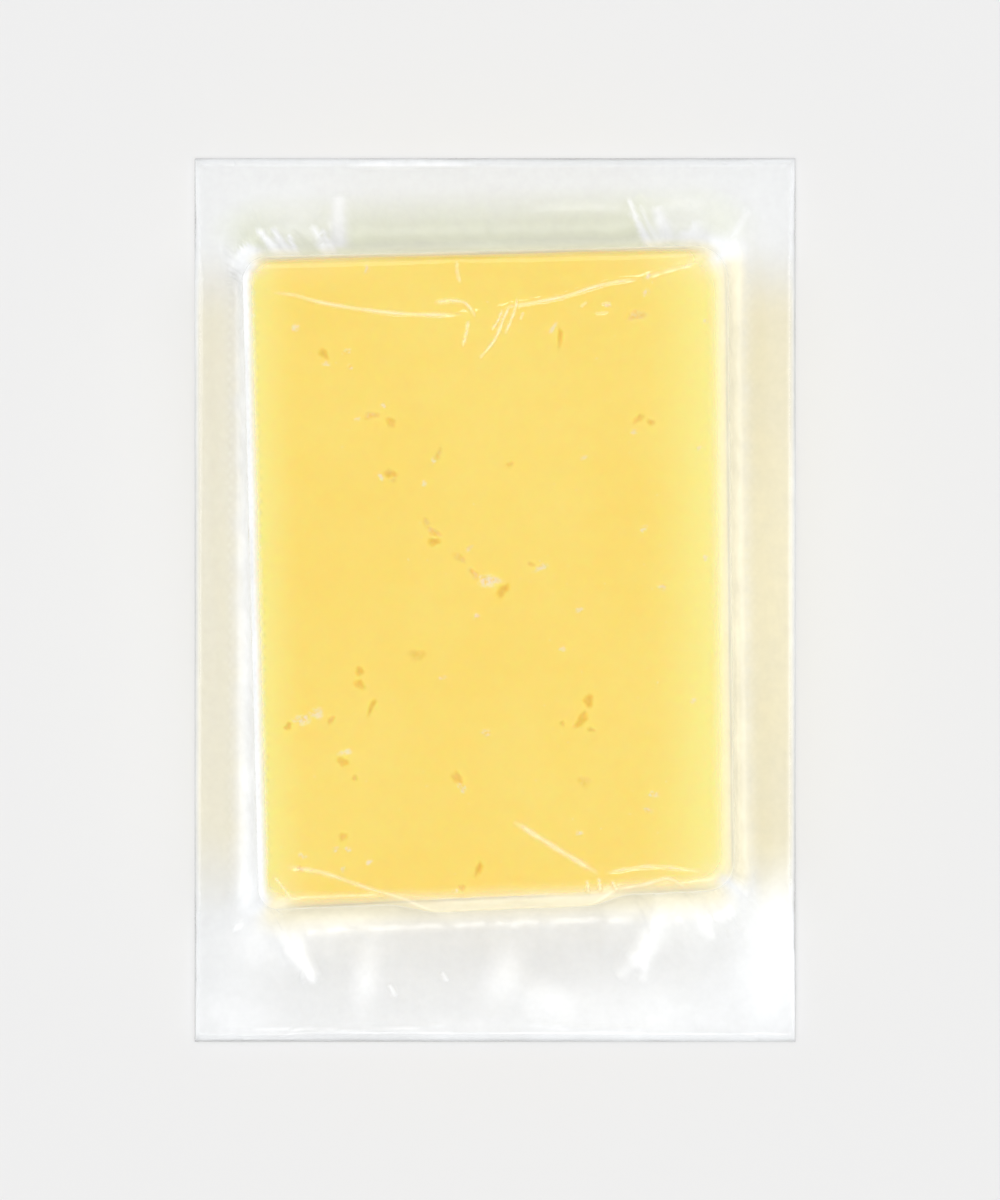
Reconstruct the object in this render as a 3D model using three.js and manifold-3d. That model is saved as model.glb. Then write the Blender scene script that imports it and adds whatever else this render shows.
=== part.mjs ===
// A vacuum-packed slab of semi-hard cheese, lying on its back.
//
// Three pieces make it: the slab itself, one solid cut a little out of square with small irregular eyes in
// its cut faces; the back web, a flat sheet of clear film; and the front web, a thicker film drawn down over
// the slab, hugging its long sides and sloping away from its ends, and sealed to the back web all round.
//
// Frame: millimetres, +Z up. The back web lies on z = 0. The origin is the middle of the pouch's outline,
// +Y runs along the pouch towards its narrower end seal, and +X is to the right when seen from above.

import * as THREE from "three";
import { mergeVertices } from "three/addons/utils/BufferGeometryUtils.js";
import Module from "manifold-3d";

// The slab. Its width and length are those halfway along each side.
const SLAB_WIDTH = 107;
const SLAB_LENGTH = 145;
const SLAB_THICKNESS = 25;
const SLAB_LEAN = { left: 3.7, right: 1.6 }; // each long side's drift towards +X, from far end to near end
const SLAB_RISE = { far: 2.7, near: 4.5 }; // each end cut's climb towards +Y, from left to right
const CORNER_RADIUS = { nearLeft: 4, nearRight: 6, farRight: 7, farLeft: 5 }; // seen from above
const FRONT_EDGE_RADIUS = 2.5;
const BACK_EDGE_RADIUS = 1.5;

// The pouch's flange, from the slab to the cut edge of the film.
const SEAL_LEFT = 13.5;
const SEAL_RIGHT = 15.5;
const SEAL_FAR = 22;
const SEAL_NEAR = 33;

// The film.
const FRONT_FILM = 0.25;
const BACK_FILM = 0.15;
const SLAB_CLEARANCE = 0.3; // between the slab and either web
const WEB_CLEARANCE = 0.05; // between the two webs where they are sealed
const FOOT_REACH = { side: 4, end: 11, ear: 5 }; // how far the front web's foot spreads; ear adds at a corner
const FOOT_HEIGHT = { side: 10, end: 8, ear: 0 }; // how high above the flange the web leaves the slab's wall

// Eyes: small openings in the cut faces. across and along are shares of the half width and half length from
// the slab's middle; long, wide and deep are the eye's size; turn is its angle in degrees.
const FRONT_EYES = [
  { across: 0.02, along: -0.01, long: 6.2, wide: 3.6, deep: 2.6, turn: -25 },
  { across: -0.24, along: 0.12, long: 4.6, wide: 2.8, deep: 2.0, turn: -40 },
  { across: 0.22, along: 0.03, long: 3.4, wide: 2.0, deep: 1.6, turn: 30 },
  { across: -0.76, along: -0.45, long: 6.4, wide: 3.4, deep: 1.8, turn: 15 },
  { across: -0.54, along: -0.31, long: 3.6, wide: 2.4, deep: 2.2, turn: -70 },
  { across: 0.41, along: -0.42, long: 7.4, wide: 3.0, deep: 2.2, turn: 80 },
  { across: -0.12, along: -0.63, long: 4.2, wide: 3.2, deep: 2.2, turn: -60 },
  { across: -0.6, along: -0.57, long: 3.4, wide: 2.6, deep: 1.8, turn: 0 },
  { across: -0.61, along: -0.82, long: 3.8, wide: 2.8, deep: 2.0, turn: 80 },
  { across: 0.62, along: 0.81, long: 3.6, wide: 2.8, deep: 2.0, turn: 10 },
  { across: 0.28, along: 0.77, long: 4.4, wide: 1.8, deep: 2.0, turn: 85 },
  { across: -0.68, along: 0.67, long: 3.4, wide: 2.4, deep: 2.2, turn: -75 },
  { across: -0.45, along: 0.49, long: 3.6, wide: 3.0, deep: 1.8, turn: -55 },
  { across: 0.64, along: 0.48, long: 3.4, wide: 2.2, deep: 1.6, turn: 50 },
];
const BACK_EYES = [
  { across: 0.35, along: 0.52, long: 5.2, wide: 3.2, deep: 2.4, turn: 35 },
  { across: -0.4, along: 0.2, long: 3.8, wide: 2.8, deep: 2.0, turn: -15 },
  { across: 0.1, along: -0.15, long: 6.0, wide: 2.8, deep: 2.2, turn: 60 },
  { across: -0.55, along: -0.6, long: 4.0, wide: 3.0, deep: 1.8, turn: 20 },
  { across: 0.6, along: -0.45, long: 3.4, wide: 2.4, deep: 2.0, turn: -50 },
  { across: -0.15, along: 0.8, long: 4.4, wide: 2.4, deep: 1.8, turn: 80 },
];
const EYE_MOUTH = 0.25; // how far an eye's middle lies under the face, as a share of its depth

// Facets.
const STEPS_PER_SIDE = 4;
const STEPS_PER_CORNER = 10; // even, so that one step meets the pouch's corner
const STEPS_PER_EDGE = 4;
const STEPS_PER_FOOT = 7;
const EYE_FACETS = { round: 9, down: 6 };

// Heights.
const SLAB_BOTTOM = BACK_FILM + SLAB_CLEARANCE;
const SLAB_TOP = SLAB_BOTTOM + SLAB_THICKNESS;
const FLANGE_TOP = BACK_FILM + WEB_CLEARANCE + FRONT_FILM;
const POUCH_TOP = SLAB_TOP + SLAB_CLEARANCE + FRONT_FILM;

// The pouch's outline follows from the slab and the seals round it.
const POUCH_WIDTH = SEAL_LEFT + SLAB_WIDTH + SEAL_RIGHT;
const POUCH_LENGTH = SEAL_FAR + SLAB_LENGTH + SEAL_NEAR;
const EDGE_X = POUCH_WIDTH / 2;
const EDGE_Y = POUCH_LENGTH / 2;
const SLAB_MIDDLE = new THREE.Vector2((SEAL_LEFT - SEAL_RIGHT) / 2, (SEAL_NEAR - SEAL_FAR) / 2);

const up = (degrees) => THREE.MathUtils.degToRad(degrees);
const shares = (steps) => Array.from({ length: steps + 1 }, (_, i) => i / steps);
const smooth = (share) => share * share * (3 - 2 * share);

// The slab's four corners before rounding, anticlockwise from the near left one, each with the corner of the
// pouch that lies beyond it.
function slabCorners() {
  const w = SLAB_WIDTH / 2;
  const l = SLAB_LENGTH / 2;
  const { left, right } = SLAB_LEAN;
  const { far, near } = SLAB_RISE;
  const corner = (x, y, radius, pouchX, pouchY) => ({
    at: new THREE.Vector2(x, y).add(SLAB_MIDDLE),
    radius,
    pouch: new THREE.Vector2(pouchX, pouchY),
  });
  return [
    corner(left / 2 - w, -l - near / 2, CORNER_RADIUS.nearLeft, -EDGE_X, -EDGE_Y),
    corner(w + right / 2, -l + near / 2, CORNER_RADIUS.nearRight, EDGE_X, -EDGE_Y),
    corner(w - right / 2, l + far / 2, CORNER_RADIUS.farRight, EDGE_X, EDGE_Y),
    corner(-w - left / 2, l - far / 2, CORNER_RADIUS.farLeft, -EDGE_X, EDGE_Y),
  ];
}

// Where a point of the slab's outline meets the pouch's edge, straight out across the side it is nearest to.
function acrossTo(point, onEnd, pouch) {
  return onEnd ? new THREE.Vector2(point.x, pouch.y) : new THREE.Vector2(pouch.x, point.y);
}

// The slab's rounded outline as stations, anticlockwise from above. Each holds its point, the way out, the
// point of the pouch's edge beyond it, how much it belongs to an end (0 to 1) and to a corner (0 to 1).
function outlineStations() {
  const corners = slabCorners();
  const stations = [];
  corners.forEach((corner, i) => {
    const previous = corners[(i + 3) % 4];
    const next = corners[(i + 1) % 4];
    const back = previous.at.clone().sub(corner.at).normalize();
    const ahead = next.at.clone().sub(corner.at).normalize();
    const half = Math.acos(back.dot(ahead)) / 2;
    const inward = back.clone().add(ahead).normalize();
    const centre = corner.at.clone().addScaledVector(inward, corner.radius / Math.sin(half));
    const from = new THREE.Vector2(-back.y, back.x); // the way out of the side before the corner
    const arc = Math.PI - 2 * half;
    const startsOnEnd = i % 2 === 1; // the sides run near, right, far, left, so odd corners end an end cut
    const onArc = (share) => {
      const out = from.clone().rotateAround(new THREE.Vector2(), share * arc);
      return { out, at: centre.clone().addScaledVector(out, corner.radius) };
    };
    const before = acrossTo(onArc(0).at, startsOnEnd, corner.pouch);
    const after = acrossTo(onArc(1).at, !startsOnEnd, corner.pouch);
    for (const share of shares(STEPS_PER_CORNER)) {
      const edge =
        share < 0.5
          ? before.clone().lerp(corner.pouch, 2 * share)
          : corner.pouch.clone().lerp(after, 2 * share - 1);
      const end = startsOnEnd ? 1 - smooth(share) : smooth(share);
      stations.push({ ...onArc(share), edge, end, ear: Math.sin(Math.PI * share) });
    }
  });
  return withSides(stations);
}

// Adds the stations along each straight side, between the last of one corner and the first of the next.
function withSides(cornerStations) {
  const perCorner = STEPS_PER_CORNER + 1;
  return cornerStations.flatMap((station, i) => {
    if ((i + 1) % perCorner) return [station];
    const next = cornerStations[(i + 1) % cornerStations.length];
    const between = shares(STEPS_PER_SIDE)
      .slice(1, -1)
      .map((share) => ({
        at: station.at.clone().lerp(next.at, share),
        out: station.out,
        edge: station.edge.clone().lerp(next.edge, share),
        end: station.end,
        ear: 0,
      }));
    return [station, ...between];
  });
}

const stations = outlineStations();

// One ring of points round the outline. place gives each station's offset outwards and height.
function ring(place) {
  return stations.map((station) => {
    const { offset, z } = place(station);
    const { x, y } = station.at.clone().addScaledVector(station.out, offset);
    return new THREE.Vector3(x, y, z);
  });
}

// A closed skin through rings, which run out from a centre on the top and over the piece to one underneath.
function skin(topCentre, rings, bottomCentre) {
  const count = stations.length;
  const points = [topCentre, ...rings.flat(), bottomCentre];
  const at = (r, k) => 1 + r * count + (k % count);
  const last = points.length - 1;
  const faces = [];
  for (let k = 0; k < count; k++) {
    faces.push(0, at(0, k), at(0, k + 1));
    for (let r = 0; r + 1 < rings.length; r++) {
      faces.push(at(r, k), at(r + 1, k), at(r + 1, k + 1));
      faces.push(at(r, k), at(r + 1, k + 1), at(r, k + 1));
    }
    faces.push(last, at(rings.length - 1, k + 1), at(rings.length - 1, k));
  }
  return new THREE.BufferGeometry().setFromPoints(points).setIndex(faces);
}

const wasm = await Module();
wasm.setup();

// A closed three.js geometry as a manifold-3d solid, and back.
function solidFrom(geometry) {
  const bare = geometry.clone();
  bare.deleteAttribute("normal");
  bare.deleteAttribute("uv");
  const merged = mergeVertices(bare, 1e-4);
  return new wasm.Manifold(
    new wasm.Mesh({
      numProp: 3,
      vertProperties: new Float32Array(merged.attributes.position.array),
      triVerts: new Uint32Array(merged.index.array),
    }),
  );
}

function geometryFrom(solid) {
  const mesh = solid.getMesh();
  return new THREE.BufferGeometry()
    .setAttribute("position", new THREE.BufferAttribute(mesh.vertProperties, mesh.numProp))
    .setIndex(new THREE.BufferAttribute(mesh.triVerts, 1));
}

// One eye as a closed ellipsoid. face is the height of the cut face, and inwards is -1 under the front face
// and 1 over the back one.
function eyeSolid({ across, along, long, wide, deep, turn }, face, inwards) {
  const shape = new THREE.SphereGeometry(1, EYE_FACETS.round, EYE_FACETS.down);
  shape.rotateX(up(90)); // the poles point up and down
  shape.scale(long / 2, wide / 2, deep * (1 - EYE_MOUTH));
  shape.rotateZ(up(turn));
  shape.translate(
    SLAB_MIDDLE.x + (across * SLAB_WIDTH) / 2,
    SLAB_MIDDLE.y + (along * SLAB_LENGTH) / 2,
    face + inwards * deep * EYE_MOUTH,
  );
  return solidFrom(shape);
}

function cheeseSlab() {
  const front = shares(STEPS_PER_EDGE).map((share) => {
    const angle = up(90) * (1 - share);
    return ring(() => ({
      offset: FRONT_EDGE_RADIUS * (Math.cos(angle) - 1),
      z: SLAB_TOP + FRONT_EDGE_RADIUS * (Math.sin(angle) - 1),
    }));
  });
  const back = shares(STEPS_PER_EDGE).map((share) => {
    const angle = up(90) * share;
    return ring(() => ({
      offset: BACK_EDGE_RADIUS * (Math.cos(angle) - 1),
      z: SLAB_BOTTOM + BACK_EDGE_RADIUS * (1 - Math.sin(angle)),
    }));
  });
  const { x, y } = SLAB_MIDDLE;
  const block = skin(
    new THREE.Vector3(x, y, SLAB_TOP),
    [...front, ...back],
    new THREE.Vector3(x, y, SLAB_BOTTOM),
  );
  const eyes = [
    ...FRONT_EYES.map((eye) => eyeSolid(eye, SLAB_TOP, -1)),
    ...BACK_EYES.map((eye) => eyeSolid(eye, SLAB_BOTTOM, 1)),
  ];
  return geometryFrom(eyes.reduce((slab, eye) => slab.subtract(eye), solidFrom(block)));
}

// The front web's section at a station, from the edge of its face out to the flange, a depth under its outer
// surface. Each step is a function of the station, and gives its offset from the slab and its height.
function webSection(depth) {
  const wall = SLAB_CLEARANCE + FRONT_FILM; // from the slab to the web's outer surface
  const shoulder = FRONT_EDGE_RADIUS + wall - depth;
  const spread = (sizes, { end, ear }) => sizes.side + (sizes.end - sizes.side) * end + sizes.ear * ear;
  const over = shares(STEPS_PER_EDGE).map((share) => () => {
    const angle = up(90) * (1 - share);
    return {
      offset: wall - depth + shoulder * (Math.cos(angle) - 1),
      z: POUCH_TOP - depth + shoulder * (Math.sin(angle) - 1),
    };
  });
  const foot = shares(STEPS_PER_FOOT).map((share) => (station) => {
    const angle = up(90) * share;
    const reach = spread(FOOT_REACH, station);
    const height = spread(FOOT_HEIGHT, station);
    const out = new THREE.Vector2(height * Math.cos(angle), reach * Math.sin(angle)).normalize();
    return {
      offset: wall + reach * (1 - Math.cos(angle)) - depth * out.x,
      z: FLANGE_TOP + height * (1 - Math.sin(angle)) - depth * out.y,
    };
  });
  return [...over, ...foot];
}

function frontFilm() {
  const cutEdge = (z) => stations.map(({ edge }) => new THREE.Vector3(edge.x, edge.y, z));
  const outer = webSection(0).map(ring);
  const inner = webSection(FRONT_FILM).map(ring).reverse();
  const rings = [...outer, cutEdge(FLANGE_TOP), cutEdge(FLANGE_TOP - FRONT_FILM), ...inner];
  const { x, y } = SLAB_MIDDLE;
  return skin(
    new THREE.Vector3(x, y, POUCH_TOP),
    rings,
    new THREE.Vector3(x, y, POUCH_TOP - FRONT_FILM),
  );
}

function backFilm() {
  return new THREE.BoxGeometry(POUCH_WIDTH, POUCH_LENGTH, BACK_FILM).translate(0, 0, BACK_FILM / 2);
}

const cheese = new THREE.MeshStandardMaterial({ color: 0xfedc73, roughness: 0.5, metalness: 0 });
const clearFilm = new THREE.MeshStandardMaterial({
  color: 0xf4f5f2,
  roughness: 0.15,
  metalness: 0,
  transparent: true,
  opacity: 0.25,
});

const pack = new THREE.Group();
const pieces = [
  ["cheese_slab", cheeseSlab(), cheese],
  ["front_film", frontFilm(), clearFilm],
  ["back_film", backFilm(), clearFilm],
];
for (const [name, geometry, material] of pieces) {
  const mesh = new THREE.Mesh(geometry, material);
  mesh.name = name;
  pack.add(mesh);
}

export default pack;
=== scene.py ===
"""A vacuum-packed slab of cheese: the looks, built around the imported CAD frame.

Lengths are in millimetres until a mesh is made, and every mesh is in metres. The slab's outline seen from
above is a rounded quadrilateral. A surface that wraps it is laid out flat on a "sheet": a sheet point's
nearest place on the outline says where round the slab it belongs, and its distance past the outline says how
far over the shoulder, down the wall and out along the flange it lies.
"""

import math
from collections import namedtuple

import bpy
import numpy as np
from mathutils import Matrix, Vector, geometry


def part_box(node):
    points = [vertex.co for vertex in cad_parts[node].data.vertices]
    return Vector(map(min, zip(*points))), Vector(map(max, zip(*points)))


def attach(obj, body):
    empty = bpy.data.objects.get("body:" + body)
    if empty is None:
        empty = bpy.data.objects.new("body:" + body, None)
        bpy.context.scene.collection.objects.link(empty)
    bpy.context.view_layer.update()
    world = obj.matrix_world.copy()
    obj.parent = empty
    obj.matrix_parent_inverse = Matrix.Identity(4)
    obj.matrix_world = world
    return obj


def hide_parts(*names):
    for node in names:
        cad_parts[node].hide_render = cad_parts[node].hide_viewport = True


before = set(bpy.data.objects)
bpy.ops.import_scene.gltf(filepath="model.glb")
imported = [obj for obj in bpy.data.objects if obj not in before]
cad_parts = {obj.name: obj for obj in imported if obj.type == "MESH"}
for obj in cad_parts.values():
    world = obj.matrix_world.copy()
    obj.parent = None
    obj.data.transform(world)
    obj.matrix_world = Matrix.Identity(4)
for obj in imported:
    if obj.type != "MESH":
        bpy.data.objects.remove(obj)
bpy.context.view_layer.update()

MM = 0.001


def node_box(node):
    """A CAD node's lowest and highest corners, in millimetres."""
    return [np.array(corner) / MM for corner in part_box(node)]


# Sizes that come from the frame.
SLAB_LOW, SLAB_HIGH = node_box("cheese_slab")
POUCH_LOW, POUCH_HIGH = node_box("back_film")
WEB_TOP = node_box("front_film")[1][2]
SLAB_MIDDLE = (SLAB_LOW + SLAB_HIGH)[:2] / 2

# The slab's outline: how far each side leans out of square, and its corner radii.
LEAN_LEFT = 3.7
LEAN_RIGHT = 1.6
RISE_FAR = 2.7
RISE_NEAR = 4.5
CORNER_RADII = (4.0, 6.0, 7.0, 5.0)  # near left, near right, far right, far left
FRONT_EDGE = 2.5
BACK_EDGE = 1.5

# The webs.
WEB = 0.12  # thickness of the front web
BACK_WEB = 0.1
WALL = WEB_TOP - SLAB_HIGH[2]  # the front web's outer surface, past the slab on every side
SHOULDER = FRONT_EDGE + WALL  # the radius it turns down with
SHOULDER_ARC = SHOULDER * math.pi / 2
DROP = 30.0  # how much of the sheet goes to the wall and the foot together
SEALED = 0.40  # the front web's top over the back web's underside, where they are welded
CLEAR_HAZE = 0.02  # how milky clear film is
WELD_HAZE = {"front": 0.34, "back": 0.10}  # how milky each web is where they are welded

# The front web's foot: how far out it reaches, and how high it leaves the wall.
SIDE_REACH = 3.4  # on the right
LEFT_REACH = (5.6, 3.6)  # on the left's near end, and how much less at its far end
END_REACH = 11
CORNER_REACH = 3  # on top of the others
SIDE_HIGH = 10
END_HIGH = 8

# The loose lip along the middle of the near end.
LIP_SAG = 0.9
LIP_OUT = 2.2
LIP_RADIUS = 0.55

# How far apart the points of the meshes are.
OUTLINE_STEP = 1.0
FACE_STEP = 0.8
BACK_STEP = 1.2
FRONT_WEB_STEP = 1.5
BACK_WEB_STEP = 1.6


# ---------------------------- the outline

def slab_outline():
    """The outline's four corner arcs and four straight sides, anticlockwise from the near left corner."""
    (x0, y0), (x1, y1) = SLAB_LOW[:2], SLAB_HIGH[:2]
    corners = np.array([
        (x0 + LEAN_LEFT, y0), (x1, y0 + RISE_NEAR), (x1 - LEAN_RIGHT, y1), (x0, y1 - RISE_FAR),
    ])
    arcs, sides = [], []
    for i, radius in enumerate(CORNER_RADII):
        back = unit(corners[i - 1] - corners[i])
        ahead = unit(corners[(i + 1) % 4] - corners[i])
        half = math.acos(back @ ahead) / 2
        centre = corners[i] + unit(back + ahead) * radius / math.sin(half)
        first = np.array([-back[1], back[0]])
        last = np.array([ahead[1], -ahead[0]])
        arcs.append((centre, radius, first, last))
    for i, (centre, radius, _, out) in enumerate(arcs):
        next_centre, next_radius, next_out, _ = arcs[(i + 1) % 4]
        sides.append((centre + radius * out, next_centre + next_radius * next_out, out))
    return arcs, sides


def unit(v):
    return v / np.linalg.norm(v, axis=-1, keepdims=True)


def cross(a, b):
    return a[..., 0] * b[..., 1] - a[..., 1] * b[..., 0]


ARCS, SIDES = slab_outline()


def to_outline(p):
    """For each point: the nearest place on the outline, the way out there, and the distance past it."""
    foot = np.tile(SLAB_MIDDLE, (len(p), 1))
    out = np.tile((1.0, 0.0), (len(p), 1))
    past = np.full(len(p), -1e9)
    for start, end, normal in SIDES:
        along = unit(end - start)
        s = (p - start) @ along
        d = (p - start) @ normal
        here = (s >= 0) & (s <= np.linalg.norm(end - start)) & (d > past)
        foot[here] = start + s[here, None] * along
        out[here] = normal
        past[here] = d[here]
    for centre, radius, first, last in ARCS:
        v = p - centre
        length = np.maximum(np.linalg.norm(v, axis=1), 1e-9)
        here = (cross(first, v) >= 0) & (cross(v, last) >= 0) & (length - radius > past)
        out[here] = v[here] / length[here, None]
        foot[here] = centre + radius * out[here]
        past[here] = length[here] - radius
    return foot, out, past


def around(step):
    """Points round the outline about a step apart, with the way out at each."""
    points, outs = [], []
    for i, (centre, radius, first, last) in enumerate(ARCS):
        turn = math.atan2(cross(first, last), first @ last)
        for k in range(count := max(6, round(radius * turn / step))):
            a = turn * k / count
            cos, sin = math.cos(a), math.sin(a)
            out = np.array([first[0] * cos - first[1] * sin, first[0] * sin + first[1] * cos])
            points.append(centre + radius * out)
            outs.append(out)
        start, end, normal = SIDES[i]
        count = round(np.linalg.norm(end - start) / step)
        for k in range(count):
            points.append(start + (end - start) * k / count)
            outs.append(normal)
    return np.array(points), np.array(outs)


# ---------------------------- smooth functions

def ease(x, low=0.0, high=1.0):
    """0 below low, 1 above high, and smooth between."""
    t = np.clip((x - low) / (high - low), 0, 1)
    return t * t * (3 - 2 * t)


def towards(component, low=0.7):
    """1 where that component of the way out is near 1, fading round the slab's corners."""
    return ease(component, low, 0.97)


def turned(p, middle, turn):
    """Places from a middle, along and across a direction turned by some degrees."""
    a = math.radians(turn)
    return (p - middle) @ np.array([(math.cos(a), -math.sin(a)), (math.sin(a), math.cos(a))])


def waves(p, size, seed, layers=5):
    """Smooth noise of about that wavelength, mostly within -1 to 1."""
    rng = np.random.default_rng(seed)
    total = np.zeros(len(p))
    for _ in range(layers):
        angle, phase = rng.uniform(0, 2 * math.pi, 2)
        length = size * rng.uniform(0.6, 1.5)
        direction = np.array([math.cos(angle), math.sin(angle)])
        bend = np.sin(2 * math.pi * (p @ direction[::-1]) / (2.3 * length) + phase)
        total += np.sin(2 * math.pi * (p @ direction) / length + phase + 1.2 * bend)
    return total / math.sqrt(layers)


def closed(loop):
    return np.vstack([loop, loop[:1]])


def curve(points, step=0.5):
    """A smooth line through a few points (Catmull-Rom), as points about a step apart."""
    pts = np.array(points, dtype=float)
    if len(pts) == 2:
        count = max(2, int(np.linalg.norm(pts[1] - pts[0]) / step))
        return pts[0] + (pts[1] - pts[0]) * np.linspace(0, 1, count + 1)[:, None]
    ends = np.vstack([2 * pts[0] - pts[1], pts, 2 * pts[-1] - pts[-2]])
    line = []
    for a, b, c, d in zip(ends, ends[1:], ends[2:], ends[3:]):
        t = np.linspace(0, 1, max(2, int(np.linalg.norm(c - b) / step)), endpoint=False)[:, None]
        line.append(0.5 * (
            2 * b + (c - a) * t + (2 * a - 5 * b + 4 * c - d) * t**2 + (3 * b - a - 3 * c + d) * t**3
        ))
    return np.vstack([*line, pts[-1:]])


def near_line(p, line, reach):
    """Each point's distance to a line and its share of the way along, worked out within reach of it."""
    distance = np.full(len(p), 1e9)
    share = np.zeros(len(p))
    close = np.flatnonzero(np.all((p > line.min(0) - reach) & (p < line.max(0) + reach), axis=1))
    q = p[close]
    steps = np.linalg.norm(np.diff(line, axis=0), axis=1)
    run = np.concatenate([[0], np.cumsum(steps)]) / steps.sum()
    for a, b, ra, rb in zip(line, line[1:], run, run[1:]):
        t = np.clip((q - a) @ (b - a) / max((b - a) @ (b - a), 1e-12), 0, 1)
        d = np.linalg.norm(q - a - t[:, None] * (b - a), axis=1)
        better = d < distance[close]
        distance[close[better]] = d[better]
        share[close[better]] = ra + t[better] * (rb - ra)
    return distance, share


# ---------------------------- sheets

def lattice(spacing, finest, low, high):
    """A triangular lattice over a box, in whole steps of the finest lattice."""
    stride = round(spacing / finest)
    row = math.sqrt(3) / 2
    j = np.arange(math.floor(low[1] / (spacing * row)), math.ceil(high[1] / (spacing * row)) + 1)
    i = np.arange(math.floor(low[0] / spacing) - 1, math.ceil(high[0] / spacing) + 1)
    jj, ii = np.meshgrid(j, i, indexing="ij")
    return np.stack([(2 * ii + jj % 2).ravel() * stride, jj.ravel() * stride], axis=1)


def inside(p, loop):
    """Which points lie inside a closed loop."""
    odd = np.zeros(len(p), dtype=bool)
    for a, b in zip(loop, np.roll(loop, -1, axis=0)):
        crosses = (a[1] > p[:, 1]) != (b[1] > p[:, 1])
        if a[1] != b[1]:
            odd ^= crosses & (p[:, 0] < (b[0] - a[0]) * (p[:, 1] - a[1]) / (b[1] - a[1]) + a[0])
    return odd


def triangulate(loop, spacing, fine=()):
    """Covers a closed loop with triangles: (points, triangles), the loop's own points first and in order.

    fine lists (line, reach, level): within reach of the line the spacing is halved level times.
    """
    deepest = max([level for _, _, level in fine], default=0)
    finest = spacing / 2**deepest
    cells = [lattice(spacing, finest, loop.min(0), loop.max(0))]
    for line, reach, level in fine:
        for k in range(1, level + 1):
            wide = reach * 2 ** (level - k) if k < level else reach
            step = spacing / 2**k
            some = lattice(step, finest, line.min(0) - wide, line.max(0) + wide)
            places = some * np.array([finest / 2, finest * math.sqrt(3) / 2])
            cells.append(some[near_line(places, line, wide)[0] < wide])
    cells = np.unique(np.vstack(cells), axis=0)
    points = cells * np.array([finest / 2, finest * math.sqrt(3) / 2])
    edge = closed(loop)
    clear = near_line(points, edge, spacing)[0]
    gap = np.linalg.norm(np.diff(edge, axis=0), axis=1).mean()
    points = points[inside(points, loop) & (clear > 0.6 * gap)]
    n = len(loop)
    verts, _, faces, *_ = geometry.delaunay_2d_cdt(
        [Vector(p) for p in np.vstack([loop, points])],
        [(i, (i + 1) % n) for i in range(n)],
        [],
        1,
        1e-6,
    )
    return np.array([v[:] for v in verts]), np.array(faces, dtype=int)


def facing(points, faces):
    """Each point's normal, averaged over its faces."""
    a, b, c = (points[faces[:, k]] for k in range(3))
    normal = np.cross(b - a, c - a)
    total = np.zeros_like(points)
    for k in range(3):
        np.add.at(total, faces[:, k], normal)
    return total / np.maximum(np.linalg.norm(total, axis=1, keepdims=True), 1e-12)


def thicken(points, faces, thickness, rim):
    """A closed solid: the surface, a second one a thickness behind it, and a band round the rim's points."""
    n = len(points)
    behind = points - thickness * facing(points, faces)
    band = []
    for a, b in zip(rim, np.roll(rim, -1)):
        band += [(a, a + n, b + n), (a, b + n, b)]
    return np.vstack([points, behind]), np.vstack([faces, faces[:, ::-1] + n, band])


def make_piece(name, points, faces, material, slot, node, **layers):
    """A mesh piece from points in millimetres, riding on the row's one body and standing for a CAD node."""
    mesh = bpy.data.meshes.new(name)
    mesh.from_pydata((points * MM).tolist(), [], faces.tolist())
    for layer, values in layers.items():
        mesh.attributes.new(layer, "FLOAT", "POINT").data.foreach_set("value", values.astype(np.float32))
    mesh.shade_smooth()
    mesh.materials.append(material)
    piece = bpy.data.objects.new(name, mesh)
    bpy.context.collection.objects.link(piece)
    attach(piece, "root")
    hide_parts(node)
    return piece


# ---------------------------- the slab

# An eye: across and along are shares of the slab's half width and half length from its middle; long and wide
# are its size, turn its angle, and deep how far it goes in; the last field is from 0, a hollow darkened with
# painted amber shade, to 1, one whitened by a painted glint.
Eye = namedtuple("Eye", "across along long wide turn deep pale")

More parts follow.
